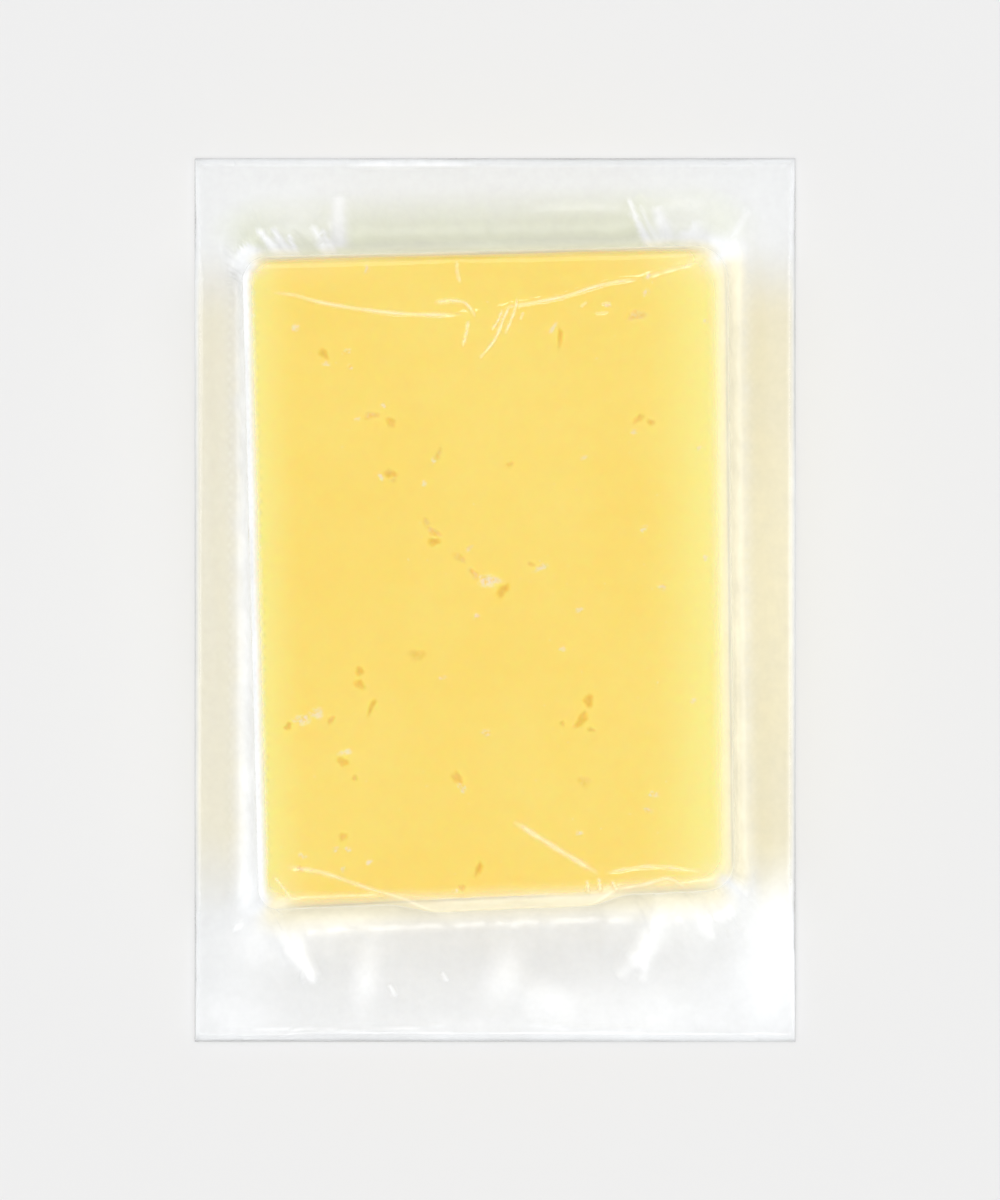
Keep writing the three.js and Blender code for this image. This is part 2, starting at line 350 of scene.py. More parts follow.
FRONT_EYES = [Eye(*row) for row in (
    # the middle, with the largest one
    (0.00, -0.01, 4.2, 2.4, -15, 1.5, 1),
    (0.06, -0.04, 3, 2, 50, 1.8, 0),
    (-0.06, 0.01, 3, 1.4, -35, 1, 0.3),
    (-0.12, 0.06, 3.4, 1.2, -38, 0.8, 0.2),
    (-0.23, 0.14, 3.2, 1.6, -45, 1.2, 0.3),
    (-0.23, 0.11, 2.4, 1.8, 20, 1.4, 0),
    (-0.26, 0.17, 2.2, 1.2, -60, 0.8, 0.2),
    (-0.08, 0.09, 2, 0.8, 30, 0.6, 0.5),
    (0.22, 0.03, 2.8, 1.2, 20, 0.9, 0.9),
    (0.18, 0.04, 1.6, 0.9, -10, 0.8, 0.1),
    # the far left
    (-0.81, 0.77, 1.8, 1.2, 60, 0.5, 0.9),
    (-0.69, 0.69, 2.6, 1.6, -70, 1.3, 0),
    (-0.68, 0.66, 1.4, 1, 0, 0.5, 1),
    (-0.59, 0.70, 1.3, 0.9, 20, 0.4, 0.9),
    (-0.58, 0.65, 1.3, 0.8, -20, 0.4, 0.8),
    (-0.51, 0.95, 1.8, 1, 70, 0.5, 0.8),
    # a chain from the upper left towards the middle
    (-0.49, 0.50, 2.8, 1.8, 15, 1.1, 0.3),
    (-0.41, 0.48, 2.4, 1.6, -20, 1.2, 0.1),
    (-0.44, 0.53, 1.6, 0.8, -35, 0.5, 0.8),
    (-0.55, 0.49, 1.1, 0.8, 0, 0.3, 0.9),
    (-0.21, 0.38, 2.8, 1.2, 70, 1, 0.2),
    (-0.23, 0.36, 1.4, 0.8, 60, 0.5, 0.9),
    (-0.41, 0.32, 2.8, 1.8, -30, 1.2, 0.1),
    (-0.45, 0.31, 1.6, 1, -60, 0.5, 0.9),
    (-0.40, 0.30, 1.4, 0.9, 30, 0.7, 0.2),
    (-0.27, 0.29, 1.4, 1, 0, 0.4, 0.9),
    (0.09, 0.35, 1.4, 1, 0, 0.7, 0.1),
    # the far right
    (0.62, 0.81, 3.2, 2.4, 10, 1.3, 0.4),
    (0.66, 0.88, 1.8, 1, 70, 0.5, 1),
    (0.67, 0.93, 1.2, 1, 0, 0.4, 0.9),
    (0.30, 0.74, 3.6, 1.2, 82, 1.2, 0),
    (0.27, 0.77, 2.6, 0.9, 60, 0.5, 0.9),
    (0.50, 0.84, 1.6, 0.7, 15, 0.4, 0.8),
    (0.91, 0.79, 1.3, 0.9, 0, 0.4, 0.9),
    # right of the middle
    (0.63, 0.49, 2.6, 1.4, 35, 1.1, 0.1),
    (0.68, 0.48, 1.8, 1.2, 0, 1, 0.1),
    (0.61, 0.45, 1.4, 0.9, 20, 0.4, 0.9),
    (0.65, 0.15, 1.6, 1.2, 20, 0.5, 1),
    (0.40, 0.37, 1.3, 0.9, 20, 0.4, 0.8),
    (0.73, -0.03, 1.8, 1.2, 20, 0.6, 0.8),
    (0.91, 0.06, 1.2, 1, 40, 0.4, 0.8),
    (0.88, 0.40, 1.2, 0.9, 0, 0.4, 0.8),
    (0.38, -0.10, 1.4, 1, 30, 0.4, 0.9),
    (0.31, -0.22, 1.4, 1, 30, 0.4, 0.9),
    # below the middle
    (-0.05, -0.12, 1.4, 1, 0, 0.4, 0.8),
    (-0.19, -0.31, 1.4, 0.9, 0, 0.4, 0.8),
    (-0.30, -0.24, 3.4, 2.6, 20, 0.6, 0.1),
    (-0.54, -0.29, 2.2, 1.4, -75, 1.4, 0),
    (-0.54, -0.33, 2.4, 1.6, -60, 1.4, 0),
    (-0.49, -0.40, 3.2, 1.2, 65, 1.5, 0),
    (-0.78, -0.44, 3.4, 2, 20, 0.8, 1),
    (-0.72, -0.42, 3.2, 1.8, -25, 0.8, 1),
    (-0.84, -0.46, 1.8, 1.4, 40, 1.2, 0),
    (-0.66, -0.44, 1.8, 1.2, 50, 1.2, 0.1),
    (-0.01, -0.48, 2, 1.2, 0, 0.5, 0.8),
    (0.42, -0.38, 3, 1.8, 70, 1.5, 0),
    (0.39, -0.44, 3.6, 2, 50, 1.6, 0),
    (0.43, -0.47, 1.6, 1, 0, 1, 0.1),
    (0.31, -0.45, 1.2, 0.9, 0, 0.8, 0.1),
    (0.86, -0.38, 1.3, 1, 0, 0.4, 0.9),
    # the near side
    (-0.60, -0.54, 2.4, 1.2, 10, 0.6, 1),
    (-0.61, -0.57, 2.4, 1.6, 0, 1.3, 0),
    (-0.56, -0.62, 1.3, 1, 0, 0.9, 0.1),
    (-0.13, -0.62, 3, 2, -70, 1.4, 0.1),
    (-0.11, -0.65, 2, 1.4, -50, 0.6, 1),
    (0.40, -0.63, 3, 2, 0, 0.5, 0.2),
    (0.69, -0.67, 2.4, 1, -10, 0.5, 1),
    (0.67, -0.72, 1.6, 1, -30, 0.5, 0.9),
    (0.38, -0.79, 1.4, 1, 20, 0.4, 0.9),
    (-0.61, -0.80, 2, 1.6, 80, 1.1, 0.1),
    (-0.64, -0.84, 1.4, 0.8, 40, 0.4, 0.9),
    (-0.59, -0.84, 1.4, 1, -30, 0.4, 0.9),
    (-0.78, -0.86, 1.5, 1.1, 0, 0.5, 1),
    (-0.79, -0.90, 1.5, 1, 30, 1, 0),
    (-0.50, -0.88, 1.3, 1, 0, 0.4, 1),
    (-0.61, -0.90, 1.2, 0.8, 80, 0.4, 0.8),
    (-0.04, -0.90, 3.2, 1.3, 78, 1.4, 0),
    (-0.11, -0.96, 1.8, 1.2, 70, 1, 0.1),
    (-0.14, -0.97, 1.2, 0.9, 0, 0.4, 1),
)]
HIDDEN_EYES = 34  # on the back
WALL_EYES = 46  # round the walls
FACE_MARGIN = (1.3, 1.6)  # how far inside the slab's edge a share of 1 lies
EYE_DEPTH = 0.62  # how much of an eye's depth the skin follows


def seeded_eyes(count, place, seed):
    """Eyes scattered at random: place gives each one's sheet point from two random shares."""
    rng = np.random.default_rng(seed)
    eyes = []
    for _ in range(count):
        x, y = place(*rng.uniform(size=2))
        long = rng.uniform(1.2, 4.4)
        wide = long * rng.uniform(0.4, 0.8)
        turn = rng.uniform(0, 180)
        eyes.append((x, y, long, wide, turn, long * 0.35, rng.choice([0.0, 0.2, 0.9])))
    return eyes


def front_eyes():
    half = (SLAB_HIGH - SLAB_LOW)[:2] / 2 - FACE_MARGIN
    places = [SLAB_MIDDLE + half * (e.across, e.along) for e in FRONT_EYES]
    return [(*place, 1.15 * e.long, 1.2 * e.wide, *e[4:]) for place, e in zip(places, FRONT_EYES)]


def on_face(a, b):
    return SLAB_MIDDLE + (SLAB_HIGH - SLAB_LOW)[:2] * (0.86 * a - 0.43, 0.88 * b - 0.44)


def on_wall(a, b):
    points, outs = around(OUTLINE_STEP)
    k = int(a * len(points))
    return points[k] + outs[k] * (3 + 7 * b)


def hollow(p, eyes):
    """How deep the eyes go at each sheet point, the painted shade that darkens them and the painted glint
    that whitens them.
    """
    depth, dark, pale = np.zeros((3, len(p)))
    for k, (x, y, long, wide, turn, deep, glint_share) in enumerate(eyes):
        close = np.flatnonzero(np.linalg.norm(p - (x, y), axis=1) < 1.3 * long + 0.6)
        v = turned(p[close], (x, y), turn)
        angle = np.arctan2(v[:, 1] / wide, v[:, 0] / long)
        ragged = 1 + 0.16 * np.sin(2 * angle + 1.7 * k) + 0.13 * np.sin(3 * angle + 2.9 * k)
        ragged = ragged + 0.08 * np.sin(5 * angle + k)
        r = np.hypot(2 * v[:, 0] / long, 2 * v[:, 1] / wide) / ragged
        shape = 1 - ease(r, 0.2, 1.15)
        depth[close] = np.maximum(depth[close], EYE_DEPTH * deep * shape)
        dark[close] = np.maximum(dark[close], (1 - glint_share) * (1 - ease(r, 0.3, 1.4)))
        pale[close] = np.maximum(pale[close], glint_share * (1 - ease(r, 0.4, 1.35)))
    return depth, dark, pale


def eye_zones(eyes, level):
    """Where the sheet is made finer for the eyes."""
    return [(np.array([(x - 0.1, y), (x + 0.1, y)]), 0.62 * long + 0.4, level) for x, y, long, *_ in eyes]


def slab_half(loop, edge, spacing, eyes):
    """Half the slab's skin, to mid wall: sheet points, faces, and each point's place, depth and normal."""
    p, faces = triangulate(loop, spacing, eye_zones(eyes, 1))
    foot, out, past = to_outline(p)
    t = np.clip(past + edge, 0, None)
    angle = np.minimum(t / (edge * math.pi / 2), 1) * math.pi / 2
    down = edge * (1 - np.cos(angle)) + np.clip(t - edge * math.pi / 2, 0, None)
    plan = np.where((t > 0)[:, None], foot + out * (edge * np.sin(angle) - edge)[:, None], p)
    normal = np.column_stack([out * np.sin(angle)[:, None], np.cos(angle)])
    return p, faces, plan, down, normal


def painted_side_glow(p):
    """Where the slab is painted paler along its two long sides: a painted glow of the side light shining into
    its edges.
    """
    right, left = SIDES[1], SIDES[3]
    from_right = (right[0] - p) @ right[2]
    from_left = (left[0] - p) @ left[2]
    return np.maximum(1 - ease(from_right, -1, 22), 0.85 * (1 - ease(from_left, -1, 12)))


def make_cheese():
    """The slab: cut faces with irregular eyes, rolled edges, and faint drag lines left by the knife."""
    height = SLAB_HIGH[2] - SLAB_LOW[2]
    points, outs = around(OUTLINE_STEP)
    front = front_eyes() + seeded_eyes(WALL_EYES // 2, on_wall, 5)
    back = seeded_eyes(HIDDEN_EYES, on_face, 7) + seeded_eyes(WALL_EYES // 2, on_wall, 8)
    skins = []
    for edge, spacing, eyes, up in ((FRONT_EDGE, FACE_STEP, front, 1), (BACK_EDGE, BACK_STEP, back, -1)):
        reach = edge * (math.pi / 2 - 2) + height / 2  # so that both halves end at mid wall
        p, faces, plan, down, normal = slab_half(points + outs * reach, edge, spacing, eyes)
        depth, dark, pale = hollow(p, eyes)
        mid_wall = ease(reach - to_outline(p)[2], 0, 1.5)
        drag_lines = np.sin(2 * math.pi * plan[:, 1] / 4.6 + 1.5 * waves(plan, 60, 3))
        drag = 0.035 * drag_lines * ease(waves(plan, 45, 4), -0.5, 1)
        swell = 0.18 * waves(plan, 70, 11) + 0.03 * waves(plan, 9, 12)
        bare = np.column_stack([plan, (SLAB_HIGH[2] if up > 0 else SLAB_LOW[2]) - up * down])
        normal[:, 2] *= up
        inwards = (depth + drag - np.minimum(swell, 0.1) + 0.1) * mid_wall
        if up < 0:
            inwards = np.maximum(inwards, 0)
            faces = faces[:, ::-1]
        skins.append((bare - normal * inwards[:, None], faces, dark, pale, painted_side_glow(plan)))
    (top, top_faces, *top_layers), (under, under_faces, *under_layers) = skins
    rim = len(points)  # both skins start with the same points round mid wall
    rest = len(top) - rim
    under_faces = np.where(under_faces < rim, under_faces, under_faces + rest)
    layers = [np.concatenate([a, b[rim:]]) for a, b in zip(top_layers, under_layers)]
    points, faces = np.vstack([top, under[rim:]]), np.vstack([top_faces, under_faces])
    return make_piece(
        "cheese", points, faces, cheese_material(), "cheese", "cheese_slab",
        # the layers: painted shade and painted glints in the eyes, and the rim layer's painted glow of side
        # light
        dark=layers[0], pale=layers[1], rim=layers[2],
    )


# ---------------------------- the front web

# A fold of film that runs out from the slab's foot, like a buttress. root is on the slab's outline; width is
# its half width there, reach how far out it goes, high where it leaves the wall, and lean its sideways drift
# at its tip.
Fold = namedtuple("Fold", "root width reach high lean")
FOLDS = [Fold(*row) for row in (
    ((-48.8, -69.2), 2.4, 15, 15, 3),  # the near left ear
    ((36.2, -65.6), 2.4, 14, 14, -1.5),  # the near right ear
    ((45, -65.3), 1.8, 12, 12, 1),
    ((-48.5, 77.2), 1.6, 11.5, 13, 1),  # the far left corner's pleats
    ((-44.6, 77.3), 1.4, 11.5, 12, 1),
    ((-36.5, 77.4), 1.7, 12, 13, 1),
    ((33.8, 79), 1.8, 12.5, 14, 1),  # the far right corner's
    ((38.4, 79.1), 1.6, 11.5, 12, 0.5),
)]

# A crease that stands up from the film's face. Its points are on the slab's face, from the pouch's middle.
Crease = namedtuple("Crease", "points height width")
CREASES = [Crease(*row) for row in (
    # the long pleat across the far end, sagging between the corners
    ((
        (-49.8, 68.9), (-44.8, 68.2), (-39.9, 66.8), (-32.6, 65.5), (-25.4, 64.5), (-17, 63.9), (-6.6, 63.9),
    ), 0.29, 0.42),
    (((-14, 66.6), (-10, 67), (-6.6, 66.4), (-4.3, 63.3)), 0.27, 0.39),
    (((2, 65.4), (5.7, 66.1), (14.9, 67.8), (21.3, 69.8), (27, 71.2), (32.6, 71.8)), 0.26, 0.39),
    (((32.6, 71.8), (38, 73.6), (46.4, 75.9)), 0.14, 0.49),
    (((-8.4, 76.2), (-8.5, 73.6), (-7.7, 70.6)), 0.17, 0.39),
    # crinkles where the pleat sags lowest
    (((-6, 62.8), (-6.4, 60), (-7.3, 56.5)), 0.26, 0.34),
    (((1.7, 65.2), (0.7, 62.6), (-0.9, 60.2)), 0.27, 0.31),
    (((3.6, 66.6), (1.9, 63), (0, 58.4), (-3.6, 53.9)), 0.31, 0.34),
    (((5, 68), (4.4, 64.8), (2.2, 59.3)), 0.27, 0.31),
    (((6.4, 64.6), (5.6, 62.6)), 0.17, 0.28),
    (((19, 65.5), (20.6, 66.8)), 0.17, 0.31),
    (((23.6, 66.2), (26, 66.6)), 0.15, 0.31),
    (((22, 64), (25.6, 64.4)), 0.14, 0.31),
    # the straight crease near the near right corner
    (((3.9, -49.4), (13.4, -55.4), (23.4, -61.4)), 0.36, 0.59),
    # the pleat across the near end, where it lies on the face
    (((-47.2, -59.8), (-41, -60.6), (-36.2, -61.8), (-29.7, -64.1), (-20.6, -66.8)), 0.26, 0.5),
    (((24, -61.3), (30, -60.2), (35.8, -59.7), (46.4, -60.6)), 0.2, 0.42),
    (((27, -64.8), (33, -63.9), (38.9, -62.4), (42.6, -64.8)), 0.24, 0.42),
    (((-49.6, -61.8), (-47.8, -64), (-45.6, -67)), 0.19, 0.39),
    (((20.6, -62.6), (20.9, -65.6)), 0.26, 0.34),
    (((23.2, -62), (23.6, -65.4)), 0.26, 0.34),
    (((26, -62.8), (27.4, -65.2)), 0.26, 0.34),
)]

# Creases in the welded flange, from the pouch's middle.
FLANGE_CREASES = [Crease(*row) for row in (
    (((-66, -96.6), (-30, -97.4), (-6, -95.8)), 0.2, 0.4),
    (((4, -95.2), (22, -97), (40, -96.6)), 0.2, 0.4),
    (((-34, 98.4), (-16, 98.6), (-4, 98.3)), 0.2, 0.4),
    (((-24, -87), (-22.6, -90)), 0.2, 0.4),
    (((-12, -84), (-11, -86.4)), 0.2, 0.4),
)]

# Broad swells in the flange: middle, half sizes, height and turn.
SWELLS = (
    ((-29, -84.5), (3.6, 7.5), 0.45, -8),
    ((5.5, -87.5), (10, 4.5), 0.6, -40),
    ((60, -66), (8, 14), 1, -6),
    ((-60, -80), (8, 10), 0.3, 20),
    ((60, 84), (4, 7), 0.4, -20),
    ((-62, 60), (5, 18), 0.3, 0),
    ((61, 30), (5, 20), 0.3, 0),
)
EDGE_LIFT = 1.2  # how far the flange stands above the floor near its cut edge, on average
EDGE_CURL = 0.3  # how much higher it curls at the cut edge
EDGE_ROLL = 0.9  # and over what width it rolls down to the floor at the edge

# Streaks where folded film turns white, partly real whitening and partly a painted highlight: the line, its
# half widths at its start and its end, and its share.
Streak = namedtuple("Streak", "points start end share")
STREAKS = [Streak(*row) for row in (
    # the near left ear
    (((-50.6, -67.4), (-47.2, -74.5), (-40.4, -87.4)), 3.8, 0.9, 0.95),
    # the near right ear
    (((36.6, -65.6), (35.8, -74.5), (31, -83.6)), 2.9, 2.3, 0.85),
    (((34.8, -76), (33.2, -87.2)), 1.6, 0.9, 0.3),
    (((32.6, -80), (27.4, -85.6)), 2.2, 1.2, 0.35),
    (((43, -66.8), (49.8, -77.4)), 2.4, 1, 0.55),
    (((49, -66), (54, -72)), 3, 2, 0.5),
    # the far left corner
    (((-54.2, 84.4), (-47.4, 76.8)), 0.4, 1.3, 0.75),
    (((-50.6, 84.4), (-45.6, 76.8)), 0.35, 1.3, 0.62),
    (((-47, 83), (-44, 76.8)), 0.3, 0.7, 0.5),
    (((-41.8, 84.8), (-37, 76.8)), 0.35, 1.2, 0.7),
    (((-39.4, 84), (-35.6, 77)), 0.3, 0.8, 0.5),
    (((-35.4, 92), (-35.2, 78.4)), 1.6, 2.6, 0.42),
    (((-57.6, 80), (-54, 76.2)), 1.4, 2.2, 0.7),
    # the far right corner
    (((30, 91.4), (32.4, 85.2), (35.6, 78.6)), 0.35, 1.1, 0.5),
    (((32.6, 90), (34.6, 85), (38, 78.6)), 0.3, 1, 0.2),
    (((36.4, 89.4), (39.4, 80)), 1.1, 2.3, 0.28),
    (((43, 84), (48.6, 78)), 2.2, 3, 0.5),
    (((53.8, 82), (57.6, 88.8)), 0.6, 1.2, 0.2),
    # a small glint beside the near left corner
    (((-58.8, -74.2), (-56.6, -73.2)), 0.6, 0.6, 0.6),
)]

# Painted highlights on the flange, and painted light over the shade beside the slab's corners, laid in as
# milky patches of film: middle, half sizes, share and turn.
PAINTED_LIGHT_PATCHES = (
    ((-45, 85.5), (13, 9), 0.32, 0),
    ((43, 86), (14, 10), 0.34, 0),
    ((-53, -75), (10, 9), 0.30, 30),
    ((43, -74), (13, 10), 0.42, 0),
    ((63.5, -76), (8.5, 17), 0.90, -4),
    ((36, -93), (28, 8), 0.45, 4),
    ((-29, -85), (3.4, 8), 0.65, -8),
    ((2.5, -84), (4.5, 8), 0.60, -20),
    ((11.5, -90), (8, 4), 0.60, -12),
    ((-60, -94), (10, 8), 0.32, 0),
    ((0, -97), (60, 3.5), 0.25, 0),
    ((-55, 76.6), (3.6, 2.8), 0.60, -20),
    ((50.8, 77.4), (5, 3.8), 0.65, 30),
    ((51.2, -64.4), (4.6, 4), 0.50, -40),
    ((-51.4, -68.4), (3.8, 3), 0.60, 20),
    ((63, 5), (9, 62), 0.42, 0),
)


def rolled(p, middle, half, turn):
    """Distance from a patch's middle, as a share of its half sizes."""
    v = turned(p, middle, turn)
    return np.hypot(v[:, 0] / half[0], v[:, 1] / half[1])


def lift(p):
    """How far the welded flange is raised at each place seen from above: 0 under the slab."""
    past = to_outline(p)[2]
    height = EDGE_LIFT * (1 + 0.2 * waves(p, 90, 21)) + 0.08 * waves(p, 28, 22)
    for middle, size, swell, turn in SWELLS:
        height = height + swell * np.exp(-rolled(p, middle, size, turn) ** 2)
    inside_edge = np.maximum(np.min(POUCH_HIGH[:2] - np.abs(p), axis=1), 0)
    height = height + EDGE_CURL * np.exp(-inside_edge / 3.0)
    inwards = np.clip(inside_edge / EDGE_ROLL, 0, 1)
    return np.maximum(height * ease(past, 4.0, 13.0), 0) * np.sqrt(1 - (1 - inwards) ** 2)


def ridges(p):
    """How far the front web's creases and streaks stand up from the flange."""
    height = 0.1 * cut_edge(p)
    for crease in FLANGE_CREASES:
        distance, share = near_line(p, curve(crease.points), 4 * crease.width)
        height = height + crease.height * np.exp(-(distance / crease.width) ** 2) * taper(share)
    for streak in STREAKS:
        height = height + 0.4 * streak.share * along_streak(p, streak)
    return height * ease(to_outline(p)[2], 2, 6)


def along_streak(p, streak):
    """1 along a streak's middle, fading out over its half width and at its ends."""
    distance, share = near_line(p, curve(streak.points), 3 * max(streak.start, streak.end))
    width = streak.start + (streak.end - streak.start) * share
    return np.exp(-(distance / width) ** 2) * ease(share, 0, 0.10) * ease(1 - share, 0, 0.16)


def taper(share):
    """Fades a crease out at both its ends."""
    return np.sqrt(ease(share, 0, 0.25) * ease(1 - share, 0, 0.25))


def far_share(foot):
    """0 at the slab's near end and 1 at its far end."""
    return (foot[:, 1] - SLAB_LOW[1]) / (SLAB_HIGH[1] - SLAB_LOW[1])


def along_lip(foot):
    """1 along the middle of the near end, where the film's shoulder is loose."""
    return ease(foot[:, 0], -25, -12) * ease(-foot[:, 0], -31, -20)


def drape(p):
    """Lays the front web's sheet over the slab.

    It gives each point's position, how far past the slab it lies, how much it is welded, on the foot and on
    the wall, the lip's faint milky band and painted highlight line, and its distance on the sheet past the
    flat of the face.
    """
    foot, out, past = to_outline(p)
    t = past + FRONT_EDGE
    end = out[:, 1] ** 2
    corner = 4 * (out[:, 0] * out[:, 1]) ** 2
    near = ease(-out[:, 1], 0.5, 1)
    reach_side = np.where(out[:, 0] < 0, LEFT_REACH[0] - LEFT_REACH[1] * far_share(foot), SIDE_REACH)
    reach = reach_side + (END_REACH - reach_side) * end + CORNER_REACH * corner
    high = SIDE_HIGH + (END_HIGH - SIDE_HIGH) * end
    wrinkle = waves(foot + out * 3, 7, 31)
    reach = reach + 0.25 * wrinkle * (1 - end) + 0.5 * wrinkle * end
    lean = np.zeros(len(p))
    for fold in FOLDS:
        away = np.linalg.norm(foot - fold.root, axis=1)
        weight = np.exp(-np.sqrt((away / fold.width) ** 2 + 0.02) + 0.14)
        weight = weight * ease(weight, 0.02, 0.3)
        reach = reach + np.maximum(fold.reach - reach, 0) * weight
        high = high + np.maximum(fold.high - high, 0) * weight
        sideways = 1 if fold.root[1] < 0 else -1
        lean = lean + fold.lean * sideways * np.exp(-(away / (1.3 * abs(fold.lean) + 1.5)) ** 2)
    lean = lean * ease(np.abs(out[:, 1]), 0.3, 0.8)

    # over the shoulder, with a loose lip along the middle of the near end
    lip = near * along_lip(foot)
    radius = SHOULDER + (LIP_RADIUS - SHOULDER) * lip
    flat = SHOULDER - radius + LIP_OUT * lip
    over = np.clip(t / SHOULDER_ARC, 0, 1) * (flat + radius * math.pi / 2)
    angle = np.clip((over - flat) / radius, 0, math.pi / 2)
    offset = WALL - SHOULDER + np.minimum(over, flat) + radius * np.sin(angle)
    sag = LIP_SAG * lip * (np.minimum(over, flat) / np.maximum(flat, 1e-6)) ** 2
    z = WEB_TOP - sag - radius * (1 - np.cos(angle))

    # down the wall, and out along the foot's quarter ellipse
    crest = WEB_TOP - LIP_SAG * lip - radius
    drop = np.clip((t - SHOULDER_ARC) / DROP, 0, 1)
    wall = np.maximum(crest - SEALED - high, 0.5)
    arc = (reach + high) * 0.78
    gone = drop * (wall + arc)
    tuck = LIP_OUT * lip * (1 - ease(gone / wall, 0, 0.9))
    on_wall_now = (drop > 0) & (gone < wall)
    bend = np.clip((gone - wall) / arc, 0, 1) * math.pi / 2
    offset = np.where(drop > 0, WALL + tuck + reach * (1 - np.cos(bend)), offset)
    z = np.where(on_wall_now, crest - gone, np.where(drop > 0, SEALED + high * (1 - np.sin(bend)), z))

    # along the flange to the cut edge
    room = edge_distance(foot, out)
    flange = np.clip((t - SHOULDER_ARC - DROP) / flange_length(foot, out), 0, 1)
    offset = np.where(flange > 0, offset + flange * (room - offset), offset)
    plan = np.where((t > 0)[:, None], foot + out * offset[:, None], p)
    aside = np.column_stack([-out[:, 1], out[:, 0]]) * np.where(out[:, 1:] < 0, 1, -1)
    swing = lean * np.clip(bend / (math.pi / 2), 0, 1) ** 1.5 * (1 - ease(flange, 0, 0.35))
    plan = np.where((t > 0)[:, None], plan + aside * swing[:, None], plan)
    plan = np.clip(plan, POUCH_LOW[:2], POUCH_HIGH[:2])
    welded = ease(0.5 * np.clip((drop - 0.75) / 0.25, 0, 1) + 0.5 * np.clip(flange / 0.25, 0, 1))
    on_foot = (0.8 * ease(drop, 0, 0.06) * (1 - ease(bend, 0, 0.6)) + ease(bend, 0.05, 0.9)) * (1 - welded)
    # along the near end's lip: a faint milky band, and a painted highlight line where it turns over
    band = lip * ease(over, 0.2, 0.9) * (1 - ease(drop, 0.0, 0.10))
    line = lip * np.exp(-(((over - flat - 0.3) / 0.35) ** 2)) * (drop <= 0)
    lip_haze = np.maximum(0.08 * band, 0.36 * line)
    share = np.clip(gone / wall, 0, 1)
    on_wall = ease(share, -0.02, 0.22) * (1 - ease(share, 0.7, 1.05))
    return np.column_stack([plan, z]), np.where(t > 0, offset, past), welded, on_foot, on_wall, lip_haze, t


def edge_distance(foot, out):
    """How far the pouch's cut edge is from the outline, straight out."""
    with np.errstate(divide="ignore", invalid="ignore"):
        reach = (np.sign(out) * POUCH_HIGH[:2] - foot) / out
    return np.where(np.abs(out) > 1e-6, reach, 1e9).min(1)


def flange_length(foot, out):
    """How much of the sheet goes to the flange."""
    return edge_distance(foot, out) - 4 - 7 * out[:, 1] ** 2


def to_sheet(p):
    """About where on the front web's sheet a place in the flange comes from."""
    foot, out, past = to_outline(p)
    start = WALL + SIDE_REACH + (END_REACH - SIDE_REACH) * out[:, 1] ** 2
    flange = np.clip((past - start) / np.maximum(edge_distance(foot, out) - start, 1), 0, 1)
    span = SHOULDER_ARC - FRONT_EDGE + DROP + flange * flange_length(foot, out)
    return foot + out * span[:, None]


def web_loop(step):
    """The sheet's outer loop: the pouch's cut edge, with a point at each of its corners."""
    points, outs = around(step)
    plan = points + outs * edge_distance(points, outs)[:, None]
    for corner in ((-1, -1), (1, -1), (1, 1), (-1, 1)):
        place = POUCH_HIGH[:2] * corner
        foot, out, _ = to_outline(place[None])
        k = np.argmin(np.linalg.norm(plan - place, axis=1))
        points[k], outs[k] = foot[0], out[0]
    span = SHOULDER_ARC - FRONT_EDGE + DROP + flange_length(points, outs)
    return points + outs * span[:, None]


def slack_band(p):
    """Where the film lies loose between the long far pleat and the slab's far edge."""
    line = curve(CREASES[0].points + CREASES[2].points + CREASES[3].points)
    return ease(p[:, 1] - np.interp(p[:, 0], line[:, 0], line[:, 1]), 0.1, 1.6) * ease(p[:, 1], 50, 60)


def painted_edge_light(foot, out, offset):
    """Painted light where the film turns down over the slab's edges, by how far it lies past the slab:
    painted highlights down its long sides and at its corners, and painted light over the shade at its ends
    and in the gap by its walls.
    """
    share = far_share(foot)
    left = towards(-out[:, 0]) * ease(offset, -2.4, 0.1)
    left = 0.92 * left * (1 - ease(offset, 3.4 - 2.8 * share, 8.0 - 4.0 * share))
    right = towards(out[:, 0]) * ease(offset, -5.0, 1.2) * (1 - ease(offset, 2.0, 6.5))
    line = np.exp(-(((offset - 2.1) / 0.9) ** 2)) * towards(out[:, 0], 0.8) * ease(-foot[:, 1], -30, 10)
    far = towards(out[:, 1]) * ease(offset, -1.2, 0.5) * (1 - ease(offset, 1.2, 4.0))
    near = near_glow(out, offset) * (1 - 0.5 * along_lip(foot))
    corner = ease(np.abs(out[:, 0] * out[:, 1]), 0.2, 0.45)
    corner = corner * ease(offset, -2.2, 0.3) * (1 - ease(offset, 2.5, 7.0))
    return np.max([left, 0.7 * right, 0.85 * line, 0.64 * far, 0.72 * near, 0.72 * corner], axis=0)


def near_glow(out, offset):
    """Painted light over the shade at the slab's near end: 1 where the film is loose over the slab's near
    edge, fading in over the face and out along the foot.
    """
    return towards(-out[:, 1], 0.6) * ease(offset, -4.0, 1.8) * (1 - ease(offset, 3.0, 9.0))


def painted_light_and_fold_white(plan):
    """The painted light patches, and the flange creases and fold streaks, partly real whitening and partly
    painted highlight, seen from above.
    """
    share = np.zeros(len(plan))
    for middle, size, strength, turn in PAINTED_LIGHT_PATCHES:
        share = 1 - (1 - share) * (1 - strength * np.exp(-rolled(plan, middle, size, turn) ** 2))
    for crease in FLANGE_CREASES:
        distance, along = near_line(plan, curve(crease.points), 4 * crease.width)
        share = np.maximum(share, 0.5 * np.exp(-(distance / crease.width) ** 2) * taper(along))
    for streak in STREAKS:
        share = 1 - (1 - share) * (1 - streak.share * along_streak(plan, streak))
    return share


def cut_edge(plan):
    """1 on the pouch's cut edge, fading inwards."""
    inside_edge = np.min(POUCH_HIGH[:2] - np.abs(plan), axis=1)
    return np.minimum(1.3 * np.exp(-np.maximum(inside_edge, 0) / 0.6), 1)


